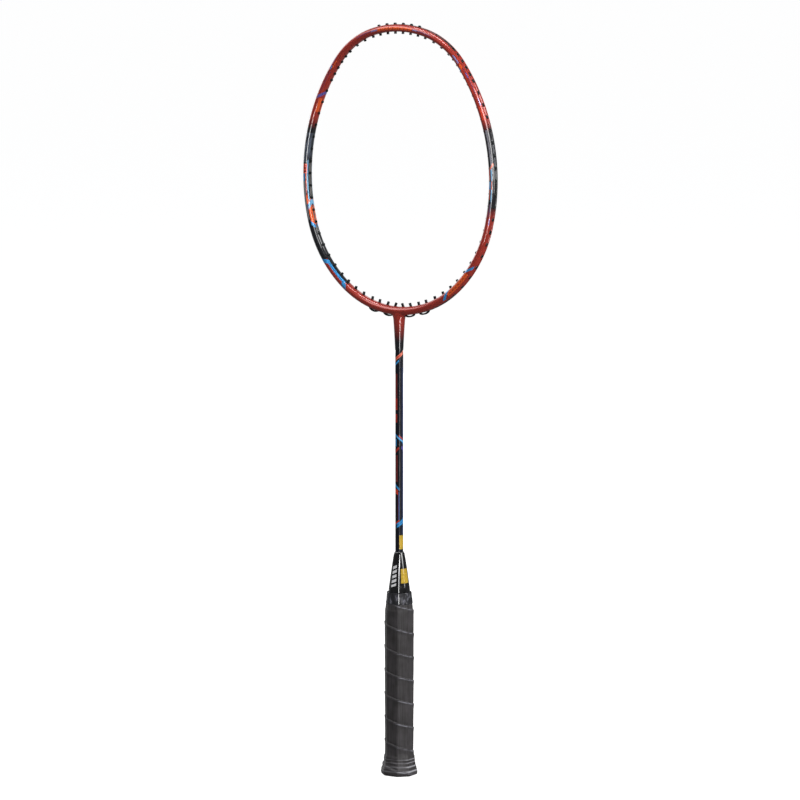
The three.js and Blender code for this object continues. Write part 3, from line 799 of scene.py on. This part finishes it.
class Look:
    """A material in the making: a Principled shader and short names for the nodes that feed it."""

    def __init__(self, name, **sockets):
        self.material = bpy.data.materials.new(name)
        self.material.use_nodes = True
        self.nodes = self.material.node_tree.nodes
        self.links = self.material.node_tree.links
        self.shader = self.nodes["Principled BSDF"]
        self.feed(**sockets)

    def put(self, socket, value):
        if hasattr(value, "is_linked"):
            self.links.new(value, socket)
        else:
            socket.default_value = value

    def node(self, kind, output, settings=None, values=(), **inputs):
        made = self.nodes.new(kind)
        for key, value in (settings or {}).items():
            setattr(made, key, value)
        for socket, value in zip(made.inputs, values):
            self.put(socket, value)
        for key, value in inputs.items():
            self.put(made.inputs[key.replace("_", " ")], value)
        return made.outputs[output]

    def math(self, operation, *values):
        return self.node("ShaderNodeMath", 0, {"operation": operation}, values)

    def times(self, a, b):
        return self.math("MULTIPLY", a, b)

    def attribute(self, name):
        return self.node("ShaderNodeAttribute", "Fac", {"attribute_name": name})

    def place(self):
        return self.node("ShaderNodeTexCoord", "Object")

    def vector_math(self, operation, vector, fixed, output="Vector"):
        return self.node("ShaderNodeVectorMath", output, {"operation": operation}, (vector, fixed))

    def stretched(self, x, y, z):
        return self.vector_math("MULTIPLY", self.place(), (x, y, z))

    def combined(self, x, y, z=0.0):
        return self.node("ShaderNodeCombineXYZ", "Vector", X=x, Y=y, Z=z)

    def axis(self, vector, output):
        return self.node("ShaderNodeSeparateXYZ", output, Vector=vector)

    def azimuth(self, facing):
        """Angle about Z from a facing direction in degrees, counted toward +X from -Y."""
        a, place = math.radians(facing), self.place()
        across = self.vector_math("DOT_PRODUCT", place, (math.cos(a), math.sin(a), 0), "Value")
        ahead = self.vector_math("DOT_PRODUCT", place, (math.sin(a), -math.cos(a), 0), "Value")
        return self.math("ARCTAN2", across, ahead)

    def noise(self, vector, scale, detail=2.0, roughness=0.5):
        return self.node("ShaderNodeTexNoise", "Fac", Vector=vector, Scale=scale, Detail=detail,
                         Roughness=roughness)

    def within(self, value, start, end, softness):
        """1 between two values, with soft edges."""
        smooth = {"interpolation_type": "SMOOTHSTEP"}
        edges = [
            self.node("ShaderNodeMapRange", 0, smooth, Value=value, From_Min=at - soft, From_Max=at + soft)
            for at, soft in ((start, softness), (end, -softness))
        ]
        return self.times(*edges)

    def patch(self, along, across, row, centre, softness):
        """1 inside a slanted mark, whose from and to hold where across is centre."""
        start, end, left, right, slant = row
        shifted = self.math("MULTIPLY_ADD", across, -slant * MM, along) if slant else along
        offset = slant * centre * MM
        inside = self.within(shifted, start * MM - offset, end * MM - offset, EDGE_SOFTNESS)
        return self.times(inside, self.within(across, left, right, softness))

    def dashes(self, along, period, share):
        """1 on dashes that repeat along a line and fill a share of it."""
        return self.math("LESS_THAN", self.math("FRACT", self.math("DIVIDE", along, period * MM)), share)

    def painted(self, colour, along, across, rows, centre, softness):
        for *row, paint in rows:
            colour = self.mix(self.patch(along, across, row, centre, softness), colour, paint)
        return colour

    def mix(self, factor, below, above):
        made = self.nodes.new("ShaderNodeMix")
        made.data_type = "RGBA"
        self.put(made.inputs[0], factor)
        self.put(made.inputs[6], below)
        self.put(made.inputs[7], above)
        return made.outputs[2]

    def ramp(self, value, stops):
        made = self.nodes.new("ShaderNodeValToRGB")
        ramp = made.color_ramp
        ramp.elements[0].position, ramp.elements[0].color = stops[0]
        ramp.elements[1].position, ramp.elements[1].color = stops[-1]
        for position, colour in stops[1:-1]:
            ramp.elements.new(position).color = colour
        self.put(made.inputs[0], value)
        return made.outputs[0]

    def range(self, value, low_in, high_in, low_out, high_out):
        return self.node("ShaderNodeMapRange", "Result", Value=value, From_Min=low_in, From_Max=high_in,
                         To_Min=low_out, To_Max=high_out)

    def bump(self, height, distance, strength=1.0):
        return self.node("ShaderNodeBump", 0, Strength=strength, Distance=distance, Height=height)

    def feed(self, **sockets):
        for socket, value in sockets.items():
            self.put(self.shader.inputs[socket.replace("_", " ")], value)
        return self.material


EDGE_SOFTNESS = 0.12 * MM  # of painted marks

RED = linear("b03528")
DEEP_RED = linear("6e1a14")
BRICK = linear("c03a2c")
MAROON = linear("7a2c2a")
EMBER = linear("e2452a")
ORANGE = linear("fa6428")
SALMON = linear("e8806a")
BLACK = linear("111218")
STEEL = linear("66707f")
NAVY = linear("161d38")
INDIGO = linear("24345f")
COBALT = linear("3f6fb4")
INK = linear("1d4a80")
BLUE = linear("3a9ce0")
SKY = linear("84c4ee")
LILAC = linear("9a8cc4")
VIOLET = linear("6a5fb4")
PLUM = linear("80406a")
ASH = linear("8d9094")
PEWTER_HIGHLIGHT = linear("85848d")
# Light silver for thin lines along the hoop's edges, which are painted highlights.
SILVER_HIGHLIGHT = linear("b4b2ae")
WHITE = linear("f2f2f4")
GOLD = linear("d2ae3a")

# Painted marks of the head, as (from, to, around from, around to, slant, colour). The first two are distances
# from the head's top in mm, the slant is in mm per unit of around. Later rows lie over earlier ones.
LEFT_MARKS = [
    (20, 27, 0.44, 0.56, 0, LILAC), (26, 43, 0.43, 0.51, 0, PLUM), (70, 79, 0.30, 0.41, 0, PLUM),
    (72.5, 81, 0.57, 0.66, 0, ORANGE), (79, 83, 0.40, 0.53, 0, BLUE), (83.5, 87, 0.42, 0.50, 0, NAVY),
    (84, 104, 0.60, 0.635, 0, PLUM), (87, 106, 0.46, 0.49, 0, PLUM), (60, 108, 0.69, 0.71, 0, BRICK),
    (111.5, 125, 0.70, 0.94, 0, ORANGE), (108.7, 112.2, 0.42, 1.1, -10, VIOLET),
    (182, 208, 0.59, 0.68, 0, BRICK), (173.5, 182, 0.36, 0.76, 0, EMBER), (182, 189, 0.36, 0.54, 0, BLUE),
    (189, 224, 0.20, 0.58, 0, ASH), (224, 246, 0.26, 0.38, 0, ASH), (232, 262, 0.33, 0.37, 0, SILVER_HIGHLIGHT),
    (170, 208, 0.755, 0.825, 0, SKY), (173, 181, 0.93, 0.965, 0, SILVER_HIGHLIGHT),
    (183, 203, 0.925, 0.965, 0, SILVER_HIGHLIGHT), (202, 210.5, 0.56, 0.71, 0, ORANGE),
    (210, 215.5, 0.56, 0.68, 0, INK), (212, 236, 0.94, 0.97, 0, SILVER_HIGHLIGHT),
    (209.7, 211.7, 0.68, 1.1, -12, SALMON), (213.5, 222, 0.66, 0.95, -11, ORANGE),
    (211.5, 224, 0.66, 0.95, 13, ORANGE), (212.3, 217.3, 0.67, 1.08, -15, SKY),
    (223.6, 227.6, 0.63, 0.91, 13, BLUE), (262, 295, 0.80, 1.1, 0, BLACK),
    (265, 292.5, 0.65, 0.83, 0, BLUE), (262.2, 266.8, 0.2, 0.80, 8, BLUE),
    (291, 296.5, 0.36, 0.72, -9, BLUE),
]
# The first two rows, the pewter and ash bands over the right side's black stretch, are painted highlights.
RIGHT_MARKS = [
    (137, 192, 0.31, 0.45, 0, PEWTER_HIGHLIGHT), (146, 180, 0.02, 0.09, 0, ASH), (17, 22, 0.42, 0.54, 0, LILAC),
    (21, 36, 0.41, 0.50, 0, PLUM), (64, 73, 0.36, 0.49, 0, LILAC), (78, 103, 0.46, 0.55, 0, EMBER),
    (75, 79.5, 0.31, 0.50, 8, ORANGE), (76.5, 80, 0.57, 0.8, 0, BLUE), (79, 104, 0.275, 0.32, 0, PLUM),
    (83.5, 88.5, 0.26, 0.34, 0, VIOLET), (108.5, 115, 0.20, 0.28, 0, LILAC),
    (116, 128, 0.30, 0.45, 0, EMBER), (172, 181, 0.49, 0.70, 0, BRICK), (171, 181.5, 0.33, 0.44, 0, SKY),
    (170.2, 172.4, 0.20, 0.55, 15, SALMON), (189, 198, 0.48, 0.64, 0, BRICK),
    (189, 200, 0.33, 0.42, 0, SKY), (181.5, 189, 0.34, 0.42, 0, SALMON), (182, 189, 0.47, 0.64, 0, BLUE),
    (168, 192, 0.155, 0.185, 0, SILVER_HIGHLIGHT), (198, 209, 0.34, 0.40, 0, STEEL), (202, 213, 0.42, 0.50, 0, PLUM),
    (214.5, 220.5, 0.25, 0.33, 0, LILAC), (263.2, 267, 0.24, 0.76, 15.5, BLUE),
    (269, 297, 0.31, 0.65, 0, ORANGE), (297.2, 301, 0.26, 0.84, -14.5, BLUE),
]
# Rows of dashes: (side, from, to, around from, around to, slant, colour, period, share of it filled).
DASHES = [
    ("left", 0, 20, 0.38, 0.64, 0, ORANGE, 4.1, 0.84), ("right", 0, 16.3, 0.38, 0.64, 0, ORANGE, 4.1, 0.84),
    ("left", 174.5, 181, 0.44, 0.70, 0, DEEP_RED, 3.1, 0.4),
    ("left", 216, 225, 0.77, 0.82, 0, DEEP_RED, 3.4, 0.45),
    ("right", 271, 294, 0.44, 0.50, 0, DEEP_RED, 3.7, 0.5),
]
# Where the lacquer changes colour along each side, in mm from the head's top, and on down the neck.
LEFT_FADE = [(0, RED), (129, RED), (141, BLACK), (263, BLACK), (265, RED), (361, RED), (377, BLACK)]
RIGHT_FADE = [(0, RED), (127, RED), (139, BLACK), (205, BLACK), (216, RED), (361, RED), (377, BLACK)]
MARBLE = (145, 172, 0.40, 0.97, 0)
WEAVE_PITCH = 1.6 * MM


def head_lacquer():
    look = Look("frame_lacquer", Metallic=0.2, Roughness=0.3, Coat_Weight=1.0, Coat_Roughness=0.06)
    along, around = look.attribute("along"), look.attribute("around")
    is_right = look.math("GREATER_THAN", look.axis(look.place(), "X"), 0.0)
    span = HALF_LENGTH + NECK_REACH
    share = look.math("DIVIDE", along, span)
    sides = []
    for side, fade, marks in (("left", LEFT_FADE, LEFT_MARKS), ("right", RIGHT_FADE, RIGHT_MARKS)):
        colour = look.ramp(share, [(at * MM / span, paint) for at, paint in fade])
        if side == "left":
            drift = look.math("MULTIPLY_ADD", along, 190.0, look.times(around, 9.0))
            blotches = look.noise(look.combined(look.times(along, 110.0), drift), 1.0, 3.0, 0.6)
            marble = look.patch(along, around, MARBLE, 0.5, 0.03)
            colour = look.mix(look.times(look.range(blotches, 0.40, 0.58, 0, 1), marble), colour, STEEL)
        colour = look.painted(colour, along, around, marks, 0.5, 0.012)
        for dash_side, *row, paint, period, filled in DASHES:
            if dash_side == side:
                strip = look.patch(along, around, row, 0.5, 0.012)
                colour = look.mix(look.times(strip, look.dashes(along, period, filled)), colour, paint)
        sides.append(colour)
    colour = look.mix(is_right, *sides)
    streaks = look.noise(look.combined(look.times(along, 70.0), look.times(around, 14.0)), 1.0, 3.0)
    turns = look.math("MULTIPLY_ADD", along, 2 * math.pi / WEAVE_PITCH, look.times(around, 32.0))
    weave = look.math("SINE", turns)
    flakes = look.noise(look.place(), 2600.0, 1.0)
    shine = look.math("ADD", look.range(flakes, 0.35, 0.65, 0.82, 1.1), look.times(weave, 0.07))
    shine = look.math("ADD", shine, look.range(streaks, 0.35, 0.65, -0.12, 0.16))
    colour = look.node("ShaderNodeHueSaturation", "Color", Value=shine, Color=colour)
    return look.feed(Base_Color=colour, Normal=look.bump(flakes, 0.03 * MM, 0.04))


DECORATION_AZIMUTH = 32  # degrees from the front to the side that is decorated

# Painted marks of the shaft, as (from, to, turn from, turn to, slant, colour): heights in mm, and turns in
# radians to the right of DECORATION_AZIMUTH.
SHAFT_MARKS = [
    (218.6, 369, 0.72, 1.15, 0, INDIGO), (331.1, 363.6, -1.7, -0.50, 0, MAROON),
    (331.1, 341.4, -1.7, -0.50, 0, BRICK), (319.8, 327.5, -1.7, -0.55, 0, BRICK),
    (377.9, 381.2, -1.9, 1.9, 2.8, SALMON), (378.9, 380.2, -0.9, 0.3, 2.8, EMBER),
    (374.5, 376.5, -1.8, -0.04, 3.2, BLUE), (307.0, 308.2, -0.2, 1.8, -2.9, BRICK),
    (298.6, 304.8, -1.2, -0.72, 0, BLUE), (297, 299.9, 0.6, 1.7, -2, VIOLET),
    (304.3, 306.5, -1.8, 1.8, -2.9, BLUE), (305.0, 305.8, -0.7, 1.0, -2.9, SKY),
    (296, 298.4, -1.3, -0.05, 3.5, BRICK), (266.3, 290.5, -0.95, -0.40, 0, MAROON),
    (254.2, 258.6, -1.7, -0.34, -1.5, EMBER), (258.6, 260.8, -1.7, 0.10, -3.3, BLUE),
    (231.5, 257.2, -0.33, -0.21, 0, MAROON), (231.5, 257.2, -0.16, 0.02, 0, COBALT),
    (230.8, 232.2, -1.7, 0.02, 2.5, EMBER), (226.3, 230.4, -0.70, 1.9, 2.4, BLUE),
    (228.2, 228.6, -0.70, 1.9, 2.4, NAVY), (205.5, 218.1, 0.02, 2.0, 0, GOLD),
]


def shaft_lacquer():
    look = Look("shaft_lacquer", Metallic=0.1, Roughness=0.4, Specular_IOR_Level=0.25, Coat_Weight=0.2,
                Coat_Roughness=0.12)
    height, turn = look.axis(look.place(), "Z"), look.azimuth(DECORATION_AZIMUTH)
    flakes = look.noise(look.place(), 2600.0, 1.0)
    colour = look.mix(look.range(flakes, 0.45, 0.9, 0, 1), BLACK, NAVY)
    colour = look.painted(colour, height, turn, SHAFT_MARKS, 0.0, 0.04)
    streaks = look.noise(look.stretched(1, 1, 0.1), 1100.0, 2.0)
    shine = look.range(streaks, 0.35, 0.65, 0.86, 1.12)
    colour = look.node("ShaderNodeHueSaturation", "Color", Value=shine, Color=colour)
    return look.feed(Base_Color=colour, Normal=look.bump(flakes, 0.03 * MM, 0.08))


# The cone's plain gold label and its column of white bars, as height and turn from the front's middle.
CONE_LABEL = (175.4, 188.2, 0.76, 1.80, 0)
CONE_BARS = (172.6, 192.4, -0.36, 0.22, 3.2)
BAR_PITCH = 4.1


def cone_gloss():
    look = Look("cone_gloss", Roughness=0.12, Coat_Weight=1.0, Coat_Roughness=0.03)
    smudges = look.noise(look.place(), 260.0, 4.0)
    height, turn = look.axis(look.place(), "Z"), look.azimuth(0)
    colour = look.ramp(smudges, [(0.3, linear("050506")), (0.7, linear("0d0d10"))])
    slanted = look.math("MULTIPLY_ADD", turn, -CONE_BARS[-1] * MM, height)
    bars = look.times(look.patch(height, turn, CONE_BARS, 0.0, 0.02), look.dashes(slanted, BAR_PITCH, 0.62))
    label = look.patch(height, turn, CONE_LABEL, 0.0, 0.03)
    foil = look.noise(look.place(), 700.0, 3.0)
    gold = look.ramp(foil, [(0.35, linear("bc9726")), (0.65, linear("e2be42"))])
    colour = look.mix(bars, colour, WHITE)
    colour = look.mix(label, colour, gold)
    return look.feed(Base_Color=colour, Roughness=look.range(smudges, 0.3, 0.7, 0.08, 0.2))


# Painted highlights on the folds of the grip's flare, as shares of its lowest 20 mm.
FOLD_HIGHLIGHT = (0.75, 0.75, 0.75, 1)
PLAIN = (0, 0, 0, 1)
FLARE_FOLD_HIGHLIGHTS = [
    (0.19, PLAIN), (0.22, FOLD_HIGHLIGHT), (0.25, FOLD_HIGHLIGHT), (0.28, PLAIN), (0.40, PLAIN), (0.44, FOLD_HIGHLIGHT), (0.49, PLAIN),
    (0.60, PLAIN), (0.62, FOLD_HIGHLIGHT), (0.65, PLAIN), (0.74, PLAIN), (0.76, FOLD_HIGHLIGHT), (0.79, PLAIN),
]
FLARE_HEIGHT = 20 * MM


def wrap_look():
    """Charcoal wrap with painted shade in each lapped crease, wear and painted highlights on the band below
    it, and painted highlights on the flare's folds, most on the right of DECORATION_AZIMUTH.
    """
    look = Look("wrap_polyurethane", Specular_IOR_Level=0.25, Sheen_Weight=0.05, Sheen_Roughness=0.5)
    place, lap = look.place(), look.attribute("lap")
    grain = look.noise(place, 1900.0, 3.0, 0.6)
    patches = look.noise(place, 90.0, 3.0)
    threads = look.noise(look.stretched(1, 1, 0.04), 900.0, 2.0)
    tone = look.math("ADD", look.times(patches, 0.5), look.times(threads, 0.5))
    colour = look.ramp(tone, [(0.38, linear("373535")), (0.62, linear("4b484a"))])
    # Just under each lapped edge the crease is painted darker: painted shade.
    crease = look.within(lap, 0.0, 0.35 * MM, 0.3 * MM)
    # The band below each lapped edge is lighter as wear, and more so on the right of DECORATION_AZIMUTH,
    # where the extra lightness is a painted highlight broken into glints.
    wear_and_highlight = look.within(lap, 0.75 * MM, 1.6 * MM, 0.4 * MM)
    turn = look.azimuth(DECORATION_AZIMUTH)
    scuff_and_glint_noise = look.range(look.noise(look.stretched(1, 1, 3), 170.0, 2.0), 0.42, 0.56, 0.15, 1.0)
    highlight_side = look.range(turn, -0.35, 0.0, 0.16, 0.85)
    wear_and_highlight = look.times(wear_and_highlight, look.times(scuff_and_glint_noise, highlight_side))
    colour = look.mix(wear_and_highlight, colour, linear("8f8f98"))
    # The flare's folds get painted highlights, strongest on the right of DECORATION_AZIMUTH.
    fold_highlight = look.ramp(look.math("DIVIDE", look.axis(place, "Z"), FLARE_HEIGHT), FLARE_FOLD_HIGHLIGHTS)
    fold_highlight_side = look.range(turn, 0.35, 0.6, 0.3, 1.0)
    colour = look.mix(look.times(fold_highlight_side, fold_highlight), colour, linear("c4c4ca"))
    colour = look.mix(look.times(crease, 0.85), colour, linear("151517"))
    flared = look.range(look.axis(place, "Z"), 10 * MM, FLARE_HEIGHT, 0.18, 0.0)
    roughness = look.math("SUBTRACT", look.range(patches, 0.3, 0.7, 0.42, 0.56), flared)
    return look.feed(Base_Color=colour, Roughness=roughness, Normal=look.bump(grain, 0.12 * MM, 0.35))


def film_look():
    look = Look("clear_film", Roughness=0.2, Coat_Weight=0.5, Coat_Roughness=0.1)
    place = look.place()
    ripples = look.noise(look.stretched(1, 1, 0.45), 420.0, 2.0)
    # The film's darker crinkles are tone; its lightest crinkles are painted glints.
    crinkles_and_glints = look.noise(look.stretched(1, 1, 0.5), 330.0, 3.0, 0.6)
    colour = look.ramp(crinkles_and_glints, [(0.3, linear("1d1d20")), (0.56, linear("37373b")), (0.7, linear("7c7b85"))])
    return look.feed(Base_Color=colour, Roughness=look.range(look.noise(place, 700.0), 0.3, 0.7, 0.1, 0.22),
                     Normal=look.bump(ripples, 0.4 * MM, 0.2))


def nylon_look(name, dark, light, roughness):
    look = Look(name)
    grain = look.noise(look.place(), 1500.0, 3.0)
    colour = look.ramp(grain, [(0.3, linear(dark)), (0.75, linear(light))])
    uneven = look.range(grain, 0.3, 0.7, roughness - 0.08, roughness + 0.08)
    return look.feed(Base_Color=colour, Roughness=uneven, Normal=look.bump(grain, 0.05 * MM, 0.3))


def wood_look():
    look = Look("ash_wood", Roughness=0.6)
    place = look.stretched(1, 1, 0.06)
    grain = look.noise(place, 900.0, 6.0, 0.65)
    colour = look.ramp(grain, [(0.3, linear("a97c47")), (0.5, linear("cba271")), (0.7, linear("dcbb8c"))])
    return look.feed(Base_Color=colour, Normal=look.bump(grain, 0.1 * MM, 0.4))


# ---- Camera, lights and stage ----

CAMERA_AZIMUTH = 32
CAMERA_ELEVATION = 7.115
CAMERA_DISTANCE = 3.877
CAMERA_TARGET = Vector((0, 0, 0.3393))

FLOOR_REACH = 300

# Softboxes: (name, azimuth, elevation, distance, width, height, power).
SOFTBOXES = [
    ("key_side", 84, 22, 2.4, 1.0, 1.8, 44),
    ("narrow_strip", 45, -10, 2.4, 0.24, 1.4, 30),
    ("overhead", 0, 86, 2.3, 1.4, 0.2, 20),
    ("front_left", -42, 48, 2.4, 1.5, 1.2, 17),
    ("left_fill", -100, 20, 2.6, 1.0, 2.0, 15),
    ("rear_right", 140, 30, 2.4, 0.8, 0.5, 6),
    ("back_glow", 212, 8, 3.0, 3.0, 3.0, 26),
]


def toward(azimuth, elevation):
    """Unit vector from the object, in degrees; azimuth 0 is the front and 90 the right side."""
    a, e = math.radians(azimuth), math.radians(elevation)
    return Vector((math.sin(a) * math.cos(e), -math.cos(a) * math.cos(e), math.sin(e)))


def aim(obj, azimuth, elevation, distance):
    away = toward(azimuth, elevation)
    obj.location = CAMERA_TARGET + away * distance
    obj.rotation_mode = "QUATERNION"
    obj.rotation_quaternion = (-away).to_track_quat("-Z", "Y")
    scene.collection.objects.link(obj)


def add_camera():
    data = bpy.data.cameras.new("camera")
    data.sensor_width = 36
    data.lens = 195.65
    data.shift_x = 0.00095
    data.shift_y = 0.0006
    camera = bpy.data.objects.new("camera", data)
    aim(camera, CAMERA_AZIMUTH, CAMERA_ELEVATION, CAMERA_DISTANCE)
    scene.camera = camera


def add_softbox(name, azimuth, elevation, distance, width, height, power):
    data = bpy.data.lights.new(name, "AREA")
    data.shape = "RECTANGLE"
    data.size, data.size_y = width, height
    data.energy = power
    light = bpy.data.objects.new(name, data)
    aim(light, azimuth, elevation, distance)
    light.visible_camera = False


def add_stage():
    reach = FLOOR_REACH
    corners = [(-reach, -reach, 0), (reach, -reach, 0), (reach, reach, 0), (-reach, reach, 0)]
    floor = new_object("floor", corners, [(0, 1, 2, 3)])
    grey, white = (0.45, 0.45, 0.45, 1), (1, 1, 1, 1)
    look = Look("studio_floor", Base_Color=grey, Roughness=0.9, Emission_Color=white, Emission_Strength=0.93)
    floor.data.materials.append(look.material)
    floor.visible_glossy = False
    floor.visible_diffuse = False
    world = bpy.data.worlds.new("studio")
    world.use_nodes = True
    background = world.node_tree.nodes["Background"].inputs
    background["Color"].default_value = (0.85, 0.87, 0.9, 1)
    background["Strength"].default_value = 0.14
    scene.world = world
    scene.view_settings.view_transform = "Standard"


# ---- Assembly ----

add_camera()
add_stage()
for softbox in SOFTBOXES:
    add_softbox(*softbox)

black_nylon = nylon_look("black_nylon", "0d1213", "1b2324", 0.38)
frame_piece(head_lacquer())
shaft_piece(shaft_lacquer())
cone_piece(cone_gloss())
grip_piece(wrap_look())
tape_piece(film_look())
butt_cap_piece(black_nylon)
top_strip(black_nylon)
for side in ("right", "left"):
    bottom_strip(side, black_nylon)
    single_grommets(side, black_nylon)

hidden_looks = {"t_piece": nylon_look("grey_nylon", "4a4f55", "666b72", 0.55), "handle_core": wood_look()}
for node, look in hidden_looks.items():
    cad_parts[node].data.materials.clear()
    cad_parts[node].data.materials.append(look)
